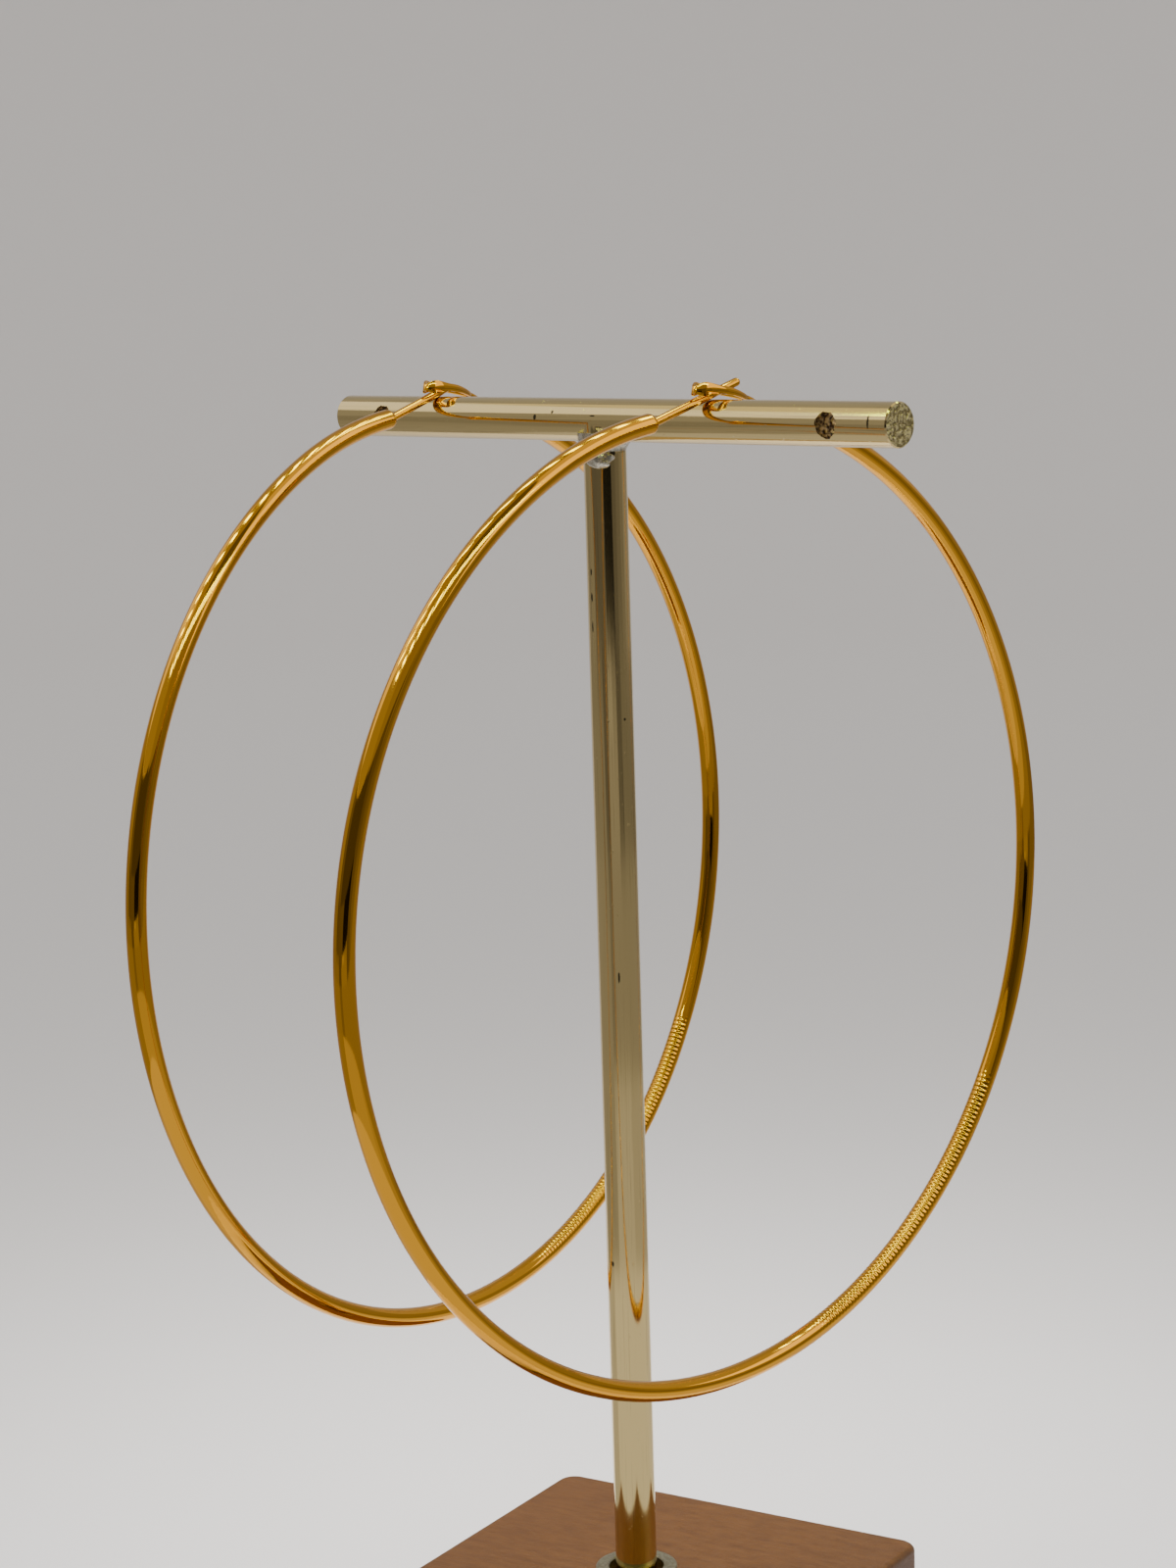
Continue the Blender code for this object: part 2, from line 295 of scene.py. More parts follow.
@dataclass(frozen=True)
class DrawnBrass(Finish):
    """Pale polished brass rod with fine scratches along it, small pits, and listed dark spots, some of which
    are painted reflection.
    """

    colour: Triple = (0.645, 0.495, 0.23)
    roughness: float = 0.10
    # The dark colour of the scratches and of the listed spots; on the post's front it is a painted reflection
    # of the dark room.
    tarnish_and_painted_reflection: Triple = (0.075, 0.060, 0.030)
    along_x: bool = False
    marks: tuple[Mark, ...] = ()
    scratch_run: float = 60.0
    scratch_grain: float = 5200.0
    scratch_depth: float = 0.0000005
    pit_grain: float = 1500.0
    pit_depth: float = 0.00001

    def dress(self, sketch: NodeSketch) -> None:
        """Draw the material's nodes.

        Args:
            sketch: The material that they go into.
        """
        sketch.set_shader(Roughness=self.roughness, Metallic=1.0)
        run, grain, pits = self.scratch_run, self.scratch_grain, self.pit_grain
        scratches = sketch.noise((run, grain, grain) if self.along_x else (grain, grain, run), 5.0, 0.65)
        dull = sketch.span(scratches, 0.56, 0.74, 0.0, 0.42)
        # Darken along the scratches and at the listed spots; the spots down the post's front are painted
        # reflection of the dark stripe that the post reflects.
        for mark in self.marks:
            dull = sketch.calc("MAXIMUM", dull, sketch.spot(mark.place, mark.reach))
        sketch.paint(dull, (0.0, self.colour), (1.0, self.tarnish_and_painted_reflection))
        sketch.bump(scratches, self.scratch_depth)
        spots = sketch.noise((pits, pits, pits if self.along_x else 0.6 * pits), 3.0, 0.6)
        sketch.bump(sketch.span(spots, 0.27, 0.31, 0.0, 1.0), self.pit_depth)


@dataclass(frozen=True)
class RoughMetal(Finish):
    """Metal with an uneven, dull skin."""

    colour: Triple
    dark: Triple
    roughness: float
    depth: float
    grain: float

    def dress(self, sketch: NodeSketch) -> None:
        """Draw the material's nodes.

        Args:
            sketch: The material that they go into.
        """
        sketch.set_shader(Roughness=self.roughness, Metallic=1.0)
        grain = sketch.noise((self.grain, self.grain, self.grain), 4.0, 0.6)
        sketch.paint(grain, (0.42, self.dark), (0.58, self.colour))
        sketch.bump(grain, self.depth)


BORE_SKIN = RoughMetal((0.75, 0.55, 0.28), (0.06, 0.03, 0.01), 0.35, 0.0002, 1900.0)
SAW_CUT = RoughMetal((0.62, 0.53, 0.32), (0.20, 0.16, 0.08), 0.35, 0.0002, 2800.0)
SOLDER = RoughMetal((0.70, 0.66, 0.56), (0.40, 0.37, 0.30), 0.25, 0.0002, 1200.0)
AGED_METAL = RoughMetal((0.40, 0.37, 0.28), (0.28, 0.25, 0.18), 0.38, 0.00005, 3000.0)


@dataclass(frozen=True)
class FineWood(Finish):
    """Fine-grained reddish brown hardwood with a satin skin."""

    light: Triple = (0.130, 0.048, 0.008)
    middle: Triple = (0.098, 0.034, 0.005)
    dark: Triple = (0.060, 0.018, 0.002)
    roughness: float = 0.5
    band_grain: Triple = (260.0, 1000.0, 1000.0)
    pore_grain: Triple = (500.0, 4200.0, 4200.0)
    pore_depth: float = 0.00005

    def dress(self, sketch: NodeSketch) -> None:
        """Draw the material's nodes.

        Args:
            sketch: The material that they go into.
        """
        sketch.set_shader(Roughness=self.roughness)
        bands = sketch.noise(self.band_grain, 8.0, 0.80)
        sketch.paint(bands, (0.30, self.dark), (0.52, self.middle), (0.74, self.light))
        pores = sketch.noise(self.pore_grain, 4.0, 0.6)
        sketch.bump(sketch.span(pores, 0.25, 0.55, 0.0, 1.0), self.pore_depth, 0.6)


@dataclass(frozen=True)
class Paper(Finish):
    """Plain matt backdrop paper."""

    colour: Triple = (0.745, 0.715, 0.690)

    def dress(self, sketch: NodeSketch) -> None:
        """Draw the material's nodes.

        Args:
            sketch: The material that they go into.
        """
        sketch.set_shader(Base_Color=(*self.colour, 1.0), Roughness=0.9, Specular_IOR_Level=0.1)


@dataclass(frozen=True)
class Glow(Finish):
    """A surface that gives light of its own, or none at all where its strength is nought."""

    strength: float
    tint: Triple = (1.0, 1.0, 1.0)

    def dress(self, sketch: NodeSketch) -> None:
        """Draw the material's nodes.

        Args:
            sketch: The material that they go into.
        """
        sketch.set_shader(
            Base_Color=(0.0, 0.0, 0.0, 1.0), Roughness=1.0, Specular_IOR_Level=0.0,
            Emission_Color=(*self.tint, 1.0), Emission_Strength=self.strength,
        )


class Slot(Enum):
    """The record's material slots."""

    GOLD = "gold"
    PALE_BRASS = "pale_brass"
    AGED_METAL = "aged_metal"
    WOOD = "wood"


# Mesh drafting.


class MeshDraft:
    """A mesh that is built from rings of points."""

    def __init__(self, name: str) -> None:
        """Start an empty mesh of that name."""
        self.name = name
        self.bm = bmesh.new()

    def ring(self, points: list[Vector]) -> Ring:
        """Add a ring of vertices."""
        return [self.bm.verts.new(p) for p in points]

    def bridge(self, first: Ring, second: Ring) -> None:
        """Join two rings of as many vertices with quads.

        Args:
            first: One ring.
            second: The next ring.
        """
        for i, vert in enumerate(first):
            j = (i + 1) % len(first)
            self.bm.faces.new((vert, first[j], second[j], second[i]))

    def skin(self, sections: list[list[Vector]], capped: bool = True, joined: bool = False) -> list[Ring]:
        """Join sections one after another.

        Args:
            sections: Rings of points, all of as many.
            capped: Whether both ends get a face.
            joined: Whether the last section joins the first.

        Returns:
            The rings of vertices.
        """
        rings = [self.ring(points) for points in sections]
        following = rings[1:] + (rings[:1] if joined else [])
        for first, second in zip(rings, following):
            self.bridge(first, second)
        if capped and not joined:
            self.bm.faces.new(rings[0])
            self.bm.faces.new(rings[-1])
        return rings

    def build(self, looks: list[Look], soft_deg: float = 40.0) -> Piece:
        """Turn the draft into an object.

        Args:
            looks: Its materials, in index order.
            soft_deg: Faces that meet at less than this are shaded smooth.

        Returns:
            The linked object.
        """
        bmesh.ops.recalc_face_normals(self.bm, faces=self.bm.faces)
        mesh = bpy.data.meshes.new(self.name)
        self.bm.to_mesh(mesh)
        self.bm.free()
        for look in looks:
            mesh.materials.append(look)
        mesh.shade_smooth()
        mesh.set_sharp_from_angle(angle=radians(soft_deg))
        obj = bpy.data.objects.new(self.name, mesh)
        bpy.context.scene.collection.objects.link(obj)
        return obj


def section(centre: Vector, tangent: float, radius: float, sides: int) -> list[Vector]:
    """A circle of points square to a path in the hoop's plane.

    Args:
        centre: The circle's centre.
        tangent: The path's angle above +Y there, in radians.
        radius: The circle's radius.
        sides: How many points.

    Returns:
        The points.
    """
    normal = Vector((0.0, -sin(tangent), cos(tangent)))
    turns = [tau * (i + 0.5) / sides for i in range(sides)]
    return [centre + radius * (cos(turn) * X_AXIS + sin(turn) * normal) for turn in turns]


def turned(profile: list[Pair], sides: int, shift: float = 0.0) -> list[list[Vector]]:
    """Rings of points about the Z axis.

    Args:
        profile: The height and the radius of each ring.
        sides: How many points a ring has.
        shift: How far they are turned on, as a share of one side.

    Returns:
        The rings.
    """
    turns = [tau * (i + shift) / sides for i in range(sides)]
    return [[Vector((radius * cos(t), radius * sin(t), level)) for t in turns] for level, radius in profile]


def carve(target: Piece, tool: Piece, operation: str) -> None:
    """Apply an exact Boolean to an object and drop its tool.

    Args:
        target: The object that is changed.
        tool: The object that is added or taken away.
        operation: UNION or DIFFERENCE.
    """
    modifier = target.modifiers.new(operation.lower(), "BOOLEAN")
    modifier.operation = operation
    modifier.solver = "EXACT"
    modifier.material_mode = "TRANSFER"
    modifier.object = tool
    view = bpy.context.evaluated_depsgraph_get()
    mesh = bpy.data.meshes.new_from_object(target.evaluated_get(view))
    target.modifiers.remove(modifier)
    target.data = mesh
    bpy.data.objects.remove(tool)


# Earrings.


@dataclass(frozen=True)
class HoopSizes:
    """The bent tube."""

    radius: float = 0.0473
    tube_radius: float = 0.0010
    bore_radius: float = 0.00075
    wire_setback: float = 0.0077
    catch_setback: float = 0.0081
    end_run: float = 0.0130
    end_draw_in: float = 0.00025
    end_side_set: float = 0.0004
    plug_run: float = 0.0016
    plug_dome: float = 0.00060
    comb_deg: Pair = (121.5, 166.0)
    comb_fade_deg: Pair = (2.5, 3.0)
    steps: int = 300
    sides: int = 40


@dataclass(frozen=True)
class WireSizes:
    """The ear wire."""

    radius: float = 0.00042
    to_loop: float = 0.0102
    sides: int = 28


@dataclass(frozen=True)
class CatchSizes:
    """The catch: a bowed loop of upright strip on a stem."""

    length: float = 0.01128
    slope_deg: float = 15.0
    bow: float = 0.00079
    front_height: float = 0.0015
    middle_height: float = 0.00076
    rear_height: float = 0.0005
    wide_run: float = 0.0030
    tip_run: float = 0.0010
    strip: float = 0.00028
    strip_edge: float = 0.3
    stem: float = 0.0034
    throat: float = 0.0010
    half_width: float = 0.0013
    side_set: float = 0.00107
    steps: int = 96


@dataclass(frozen=True)
class Hang:
    """Where an earring hangs on the bar."""

    side: str
    along_bar: float
    turn_deg: float
    lean_deg: float
    wire_length: float
    drop: float = 0.04615


HANGS = (Hang("front", 0.01371, -1.5, -0.36, 0.0114), Hang("rear", -0.02317, 7.8, -0.55, 0.0089))


class Earring:
    """One hoop earring: its tube, its ear wire and its catch."""

    def __init__(self, hang: Hang, gold: Look, bar_height: float, bar_radius: float) -> None:
        """Keep what the earring is made of and hangs from.

        Args:
            hang: Where it hangs.
            gold: Its material.
            bar_height: The height of the bar's axis.
            bar_radius: The bar's radius.
        """
        self.hang = hang
        self.gold = gold
        self.bar_radius = bar_radius
        self.hoop = HoopSizes()
        self.wire = WireSizes()
        self.catch = CatchSizes()
        turn = Matrix.Rotation(radians(hang.turn_deg), 4, "Z")
        lean = Matrix.Rotation(radians(hang.lean_deg), 4, "Y")
        self.place = Matrix.Translation((hang.along_bar, 0.0, bar_height - hang.drop)) @ turn @ lean
        self.wire_end = -self.hoop.wire_setback / self.hoop.radius
        self.catch_end = self.hoop.catch_setback / self.hoop.radius
        self.rise = self.wire_rise()
        self.slope = radians(self.catch.slope_deg)

    def on_hoop(self, angle: float) -> Vector:
        """The point of the tube's centre line at an angle from the top.

        Args:
            angle: The angle towards +Y, in radians.

        Returns:
            The point, from the hoop's centre.
        """
        hoop = self.hoop
        from_top = abs((angle + pi) % tau - pi) * hoop.radius
        spring = clamped(1.0 - (from_top - hoop.wire_setback) / hoop.end_run) ** 2
        radius = hoop.radius - hoop.end_draw_in * spring
        return Vector((hoop.end_side_set * spring, radius * sin(angle), radius * cos(angle)))

    def wire_rise(self) -> float:
        """The slope at which the straight wire just touches the top of the bar.

        Returns:
            The angle above +Y, in radians.
        """
        start = self.on_hoop(self.wire_end)
        across, up = -start.y, self.hang.drop - start.z
        reach = self.bar_radius + self.wire.radius + TOUCH
        return atan2(up, across) + asin(reach / hypot(across, up))

    def catch_point(self, along: float, side: float, above: float) -> Vector:
        """A point of the bowed catch.

        Args:
            along: How far from the tube's end, along the chord.
            side: How far to +X.
            above: How far above the bowed line.

        Returns:
            The point, from the hoop's centre.
        """
        share = along / self.catch.length
        root = self.on_hoop(self.catch_end)
        offset = side + (self.catch.side_set - root.x) * clamped(along / self.catch.stem)
        height = above + 4.0 * self.catch.bow * share * (1.0 - share)
        back = Vector((0.0, -cos(self.slope), sin(self.slope)))
        up = Vector((0.0, sin(self.slope), cos(self.slope)))
        return root + along * back + height * up + offset * X_AXIS

    def dome(self, end_angle: float, outward: float, neck: float) -> Stations:
        """The rounded end of the closed tube, down to the neck of what leaves it.

        Args:
            end_angle: The angle of the tube's end.
            outward: +1 where the path leaves towards +Y, or -1.
            neck: The radius of what leaves it.

        Returns:
            Stations as centre, tangent angle and radius.
        """
        hoop = self.hoop
        stations = []
        profile = [(-hoop.plug_run, hoop.bore_radius), (-hoop.plug_dome, hoop.bore_radius)]
        flare = hoop.tube_radius - neck
        profile += [(-hoop.plug_dome * (1.0 - s), neck + flare * c) for c, s in quarter(8)]
        for along, radius in profile:
            angle = end_angle + outward * along / hoop.radius
            stations.append((self.on_hoop(angle), -angle, radius))
        return stations

    def finish(self, obj: Piece, part: str) -> None:
        """Put a piece in its place, hang it under the root body and hide the CAD node that it stands for.

        Args:
            obj: The piece.
            part: The CAD node's name without its side.
        """
        obj.data.transform(self.place)
        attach(obj, "root")
        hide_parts(self.hang.side + "_" + part)
        LOG.info("built %s", obj.name)

    def build_tube(self) -> None:
        """Build the hollow tube."""
        hoop = self.hoop
        start = self.catch_end + hoop.plug_dome / hoop.radius
        stop = tau + self.wire_end - hoop.plug_dome / hoop.radius
        draft = MeshDraft(self.hang.side + "_tube")
        skins = []
        for radius in (hoop.tube_radius, hoop.bore_radius):
            sections = []
            for i in range(hoop.steps + 1):
                angle = start + (stop - start) * i / hoop.steps
                sections.append(section(self.on_hoop(angle), -angle, radius, hoop.sides))
            skins.append(draft.skin(sections, capped=False))
        draft.bridge(skins[0][0], skins[1][0])
        draft.bridge(skins[0][-1], skins[1][-1])
        tube = draft.build([self.gold])
        arc = tube.data.attributes.new("arc", "FLOAT", "POINT")
        inner = tube.data.attributes.new("inner_side", "FLOAT", "POINT")
        for i, vert in enumerate(tube.data.vertices):
            angle = atan2(vert.co.y, vert.co.z) % tau
            arc.data[i].value = angle * hoop.radius
            inward = (hoop.radius - hypot(vert.co.y, vert.co.z)) / hoop.tube_radius
            fade_in = clamped((degrees(angle) - hoop.comb_deg[0]) / hoop.comb_fade_deg[0])
            fade_out = clamped((hoop.comb_deg[1] - degrees(angle)) / hoop.comb_fade_deg[1])
            inner.data[i].value = fade_in * fade_out * clamped(2.0 * inward)
        self.finish(tube, "hoop_tube")

    def build_wire(self) -> None:
        """Build the ear wire, from the rounded end of the tube to its own rounded tip."""
        wire, length = self.wire, self.hang.wire_length
        stations = self.dome(self.wire_end, 1.0, wire.radius)
        start = self.on_hoop(self.wire_end)
        lean = (self.catch.side_set - start.x) / wire.to_loop
        along = Vector((lean, cos(self.rise), sin(self.rise)))
        for reach in (wire.radius, length * 0.5, length - wire.radius):
            stations.append((start + reach * along, self.rise, wire.radius))
        for c, s in quarter(8)[1:-1]:
            reach = length - wire.radius * (1.0 - s)
            stations.append((start + reach * along, self.rise, wire.radius * c))
        draft = MeshDraft(self.hang.side + "_wire")
        draft.skin([section(*station, wire.sides) for station in stations])
        self.finish(draft.build([self.gold]), "ear_wire")

    def strip_height(self, along: float) -> float:
        """The strip's height at a place along the loop, which widens to its rounded front turn.

        Args:
            along: The place, from the tube's end.

        Returns:
            The height.
        """
        catch = self.catch
        share = (along - catch.stem) / (catch.length - catch.stem)
        height = catch.rear_height + (catch.middle_height - catch.rear_height) * min(2.0 * share, 1.0)
        wide = max(0.0, 1.0 - (catch.length - along) / catch.wide_run)
        height += (catch.front_height - height) * wide ** 2 * (3.0 - 2.0 * wide)
        tip = max(0.0, 1.0 - (catch.length - along) / catch.tip_run)
        return height * sqrt(max(0.12, 1.0 - 0.8 * tip ** 2))

    def build_catch(self) -> None:
        """Build the catch: its rounded foot in the tube, its stem and its loop."""
        catch = self.catch
        draft = MeshDraft(self.hang.side + "_clasp")
        stations = self.dome(self.catch_end, -1.0, self.wire.radius)
        for step in range(1, 9):
            along = (catch.stem + catch.throat) * step / 8.0
            bend = 4.0 * catch.bow / catch.length * (1.0 - 2.0 * along / catch.length)
            narrow = self.wire.radius * (1.0 - 0.25 * step / 8.0)
            stations.append((self.catch_point(along, 0.0, 0.0), -self.slope - atan(bend), narrow))
        draft.skin([section(*station, self.wire.sides) for station in stations])
        sections = []
        for i in range(catch.steps):
            turn = tau * (i + 0.5) / catch.steps
            outer = self.teardrop(catch.stem, catch.length, catch.half_width, turn)
            rear, front = catch.stem + catch.throat, catch.length - catch.strip
            inner = self.teardrop(rear, front, catch.half_width - catch.strip, turn)
            half = self.strip_height(outer[0]) / 2.0
            soft = catch.strip * catch.strip_edge
            middle = [(o + n) / 2.0 for o, n in zip(outer, inner)]
            profile = (
                (outer, soft - half), (outer, half - soft), (self.between(outer, middle, 0.55), half),
                (self.between(inner, middle, 0.55), half), (inner, half - soft), (inner, soft - half),
                (self.between(inner, middle, 0.55), -half), (self.between(outer, middle, 0.55), -half),
            )
            sections.append([self.catch_point(*at, level) for at, level in profile])
        draft.skin(sections, joined=True)
        self.finish(draft.build([self.gold], 50.0), "catch")

    @staticmethod
    def between(first: Pair, second: list[float], share: float) -> Pair:
        """The point a share of the way from one flat point to another."""
        return first[0] + (second[0] - first[0]) * share, first[1] + (second[1] - first[1]) * share

    @staticmethod
    def teardrop(rear: float, front: float, half_width: float, turn: float) -> Pair:
        """A point of a loop that is round in front and narrow at the rear.

        Args:
            rear: Where the loop starts along the catch.
            front: Where it ends.
            half_width: Its half width.
            turn: The angle round it, from the rear.

        Returns:
            The place along the catch and to the side.
        """
        along = rear + (front - rear) * (1.0 - cos(turn)) / 2.0
        return along, half_width * sin(turn) * abs(sin(turn / 2.0)) ** 0.7

    def build(self) -> None:
        """Build all three pieces."""
        self.build_tube()
        self.build_wire()
        self.build_catch()


# Stand.


@dataclass(frozen=True)
class RodSizes:
    """The T of round rod."""

    radius: float = 0.0021
    bar_length: float = 0.0731
    chamfer: float = 0.00012
    hole_radius: float = 0.00122
    hole_inset: float = 0.0070
    hole_sides: int = 72
    joint_radius: float = 0.0027
    joint_height: float = 0.0010
    blob_reach: Triple = (0.0013, 0.0005, 0.0009)
    blob_turn_deg: float = -61.0
    blob_drop: float = 0.0037
    blob_rings: int = 16
    blob_sides: int = 32
    post_rings: int = 24
    post_clear: Pair = (0.0020, 0.0012)
    sides: int = 128
    bar_marks: tuple[Mark, ...] = (
        Mark((-0.0074, -0.0021, 0.0003), (0.00022, 0.0006, 0.00030)),
        Mark((-0.0051, -0.0020, 0.0008), (0.00018, 0.0006, 0.00018)),
        Mark((0.0345, -0.0021, 0.0004), (0.00013, 0.0006, 0.00075)),
        Mark((0.0004, -0.0021, 0.0005), (0.00040, 0.0006, 0.00008)),
        Mark((0.0011, -0.0021, -0.0006), (0.00060, 0.0006, 0.00007)),
    )
    # The first three spots and the sixth, in a line down the post's front, are painted reflection: they paint
    # the dark stripe that the post reflects from the dark room in front. The others are small dark spots.
    post_marks_and_painted_reflection: tuple[Mark, ...] = (
        Mark((-0.0003, -0.0021, -0.0146), (0.00012, 0.0006, 0.00035)),
        Mark((-0.0003, -0.0021, -0.0171), (0.00014, 0.0006, 0.00050)),
        Mark((-0.0003, -0.0021, -0.0200), (0.00010, 0.0006, 0.00060)),
        Mark((0.0021, -0.0004, -0.0291), (0.0006, 0.00014, 0.00016)),
        Mark((0.0019, -0.0009, -0.0031), (0.0006, 0.00030, 0.00040)),
        Mark((-0.0001, -0.0021, -0.0844), (0.00018, 0.0006, 0.00030)),
        Mark((0.0014, -0.0016, -0.0548), (0.00009, 0.0003, 0.00060)),
    )


class StandRod:
    """The cross bar with its two cross holes, and the post soldered under it."""

    def __init__(self, bar_height: float, foot: float) -> None:
        """Keep where the rod stands.

        Args:
            bar_height: The height of the bar's axis.
            foot: The height of the post's lower end.
        """
        self.sizes = RodSizes()
        self.bar_height = bar_height
        self.foot = foot
        self.bar_look = DrawnBrass(along_x=True, marks=self.lifted(self.sizes.bar_marks)).build("bar_brass")
        self.post_look = DrawnBrass(marks=self.lifted(self.sizes.post_marks_and_painted_reflection)).build("post_brass")
        self.hole_look = BORE_SKIN.build("hole_skin")
        self.cut_look = SAW_CUT.build("saw_cut")
        self.solder_look = SOLDER.build("solder_skin")

    def lifted(self, marks: tuple[Mark, ...]) -> tuple[Mark, ...]:
        """Move marks that are given from the bar's axis to the row frame.

        Args:
            marks: The marks, with heights from the bar's axis.

        Returns:
            The marks in the row frame.
        """
        return tuple(Mark((*mark.place[:2], mark.place[2] + self.bar_height), mark.reach) for mark in marks)

    def drill(self, place: Matrix, depth: float) -> Piece:
        """Build the tool that cuts a rough hole, a little ragged at its rim.

        Args:
            place: Where its axis lies.
            depth: How far it reaches to each side.

        Returns:
            The tool.
        """
        sections = []
        for level in (-depth, depth):
            ring = []
            for i in range(self.sizes.hole_sides):
                turn = tau * i / self.sizes.hole_sides
                rough = 1.0 + 0.05 * sin(3.0 * turn + 0.6) + 0.03 * sin(7.0 * turn)
                reach = self.sizes.hole_radius * (rough + 0.02 * sin(17.0 * turn))
                ring.append(place @ Vector((reach * cos(turn), reach * sin(turn), level)))
            sections.append(ring)
        draft = MeshDraft("hole")
        draft.skin(sections)
        return draft.build([self.hole_look])

    def blob(self) -> Piece:
        """Build the lump of solder on the post just under the bar.

        Returns:
            The lump.
        """
        size = self.sizes
        draft = MeshDraft("solder_blob")
        turn = Matrix.Rotation(radians(size.blob_turn_deg + 90.0), 4, "Z")
        place = Matrix.Translation((0.0, 0.0, self.bar_height - size.blob_drop)) @ turn
        sections = []
        for step in range(1, size.blob_rings):
            level = -cos(pi * step / size.blob_rings)
            ring = []
            for i in range(size.blob_sides):
                t = tau * i / size.blob_sides
                lump = 1.0 + 0.10 * sin(3.0 * t + 4.0 * level) + 0.06 * sin(5.0 * level + t)
                wide = lump * sqrt(1.0 - level * level)
                across, out = size.blob_reach[0] * wide * cos(t), size.blob_reach[1] * wide * sin(t)
                out += -size.radius + 0.4 * across ** 2 / size.radius
                ring.append(place @ Vector((across, out, size.blob_reach[2] * level)))
            sections.append(ring)
        draft.skin(sections)
        return draft.build([self.solder_look])

    @staticmethod
    def cylinder(name: str, radii: list[Pair], place: Matrix, sides: int, look: Look) -> Piece:
        """A turned piece about a matrix's Z axis.

        Args:
            name: The object's name.
            radii: Heights along the axis with the radius at each.
            place: Where the axis lies.
            sides: How many sides.
            look: Its material.

        Returns:
            The object.
        """
        draft = MeshDraft(name)
        draft.skin([[place @ point for point in ring] for ring in turned(radii, sides, 0.5)])
        return draft.build([look])

    def build(self) -> None:
        """Build the rod."""
        size = self.sizes
        half = size.bar_length / 2.0
        at_bar = Matrix.Translation((0.0, 0.0, self.bar_height)) @ Matrix.Rotation(pi / 2.0, 4, "Y")
        ends = [(-half, size.radius - size.chamfer), (-half + size.chamfer, size.radius)]
        outline = ends + [(-z, r) for z, r in reversed(ends)]
        bar = self.cylinder("rod", outline, at_bar, size.sides, self.bar_look)
        bar.data.materials.append(self.cut_look)
        for face in bar.data.polygons:
            if abs(face.normal.x) > 0.9:
                face.material_index = 1
        low = self.bar_height - size.radius
        run = low - size.post_clear[0] - self.foot
        levels = [self.foot + run * i / size.post_rings for i in range(size.post_rings + 1)]
        outline = [(z, size.radius) for z in levels + [low - size.post_clear[1], self.bar_height]]
        post = self.cylinder("post", outline, Matrix.Identity(4), size.sides, self.post_look)
        carve(bar, post, "UNION")
        joint = [(low - size.joint_height, size.radius * 0.98)]
        flare = size.joint_radius - size.radius
        for s in (0.35, 0.65, 0.9):
            joint.append((low - size.joint_height * (1.0 - s), size.radius + flare * s ** 2))
        joint += [(low + size.radius * 0.45, size.joint_radius * 0.97)]
        carve(bar, self.cylinder("solder", joint, Matrix.Identity(4), 64, self.solder_look), "UNION")
        carve(bar, self.blob(), "UNION")
        for end in (-1.0, 1.0):
            hole_at = Matrix.Translation((end * (half - size.hole_inset), 0.0, self.bar_height))
            hole_at = hole_at @ Matrix.Rotation(pi / 2.0, 4, "X")
            carve(bar, self.drill(hole_at, size.radius * 2.0), "DIFFERENCE")
        bar.data.shade_smooth()
        bar.data.set_sharp_from_angle(angle=radians(20.0))
        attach(bar, "root")
        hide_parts("stand_rod")
        LOG.info("built %s", bar.name)


@dataclass(frozen=True)
class FerruleSizes:
    """The flat ring round the post's foot."""

    radius: float = 0.0042
    bore: float = 0.0028
    height: float = 0.0014
    edge: float = 0.0003
    sides: int = 96


class Ferrule:
    """The flat ring on the base."""

    def __init__(self, base_top: float) -> None:
        """Keep the height that it lies at."""
        self.sizes = FerruleSizes()
        self.base_top = base_top

    def build(self) -> None:
        """Build the ring."""
        size = self.sizes
        profile = [(size.bore, TOUCH), (size.radius, TOUCH), (size.radius, size.height - size.edge)]
        for c, s in quarter(4)[1:]:
            profile.append((size.radius - size.edge * (1.0 - c), size.height - size.edge * (1.0 - s)))
        profile += [(size.bore + size.edge * 0.4, size.height), (size.bore, size.height - size.edge * 0.4)]
        draft = MeshDraft("ferrule_ring")
        sections = []
        for i in range(size.sides):
            turn = tau * i / size.sides
            sections.append([Vector((r * cos(turn), r * sin(turn), self.base_top + z)) for r, z in profile])
        draft.skin(sections, joined=True)
        ring = draft.build([AGED_METAL.build("aged_metal")])
        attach(ring, "root")
        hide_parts("base_ferrule")
        LOG.info("built %s", ring.name)


@dataclass(frozen=True)
class BaseSizes:
    """The wooden block."""

    side: float = 0.0434
    height: float = 0.0150
    turn_deg: float = 12.6
    corner: float = 0.0018
    edge: float = 0.0007
    socket_radius: float = 0.00225
    socket_depth: float = 0.0100


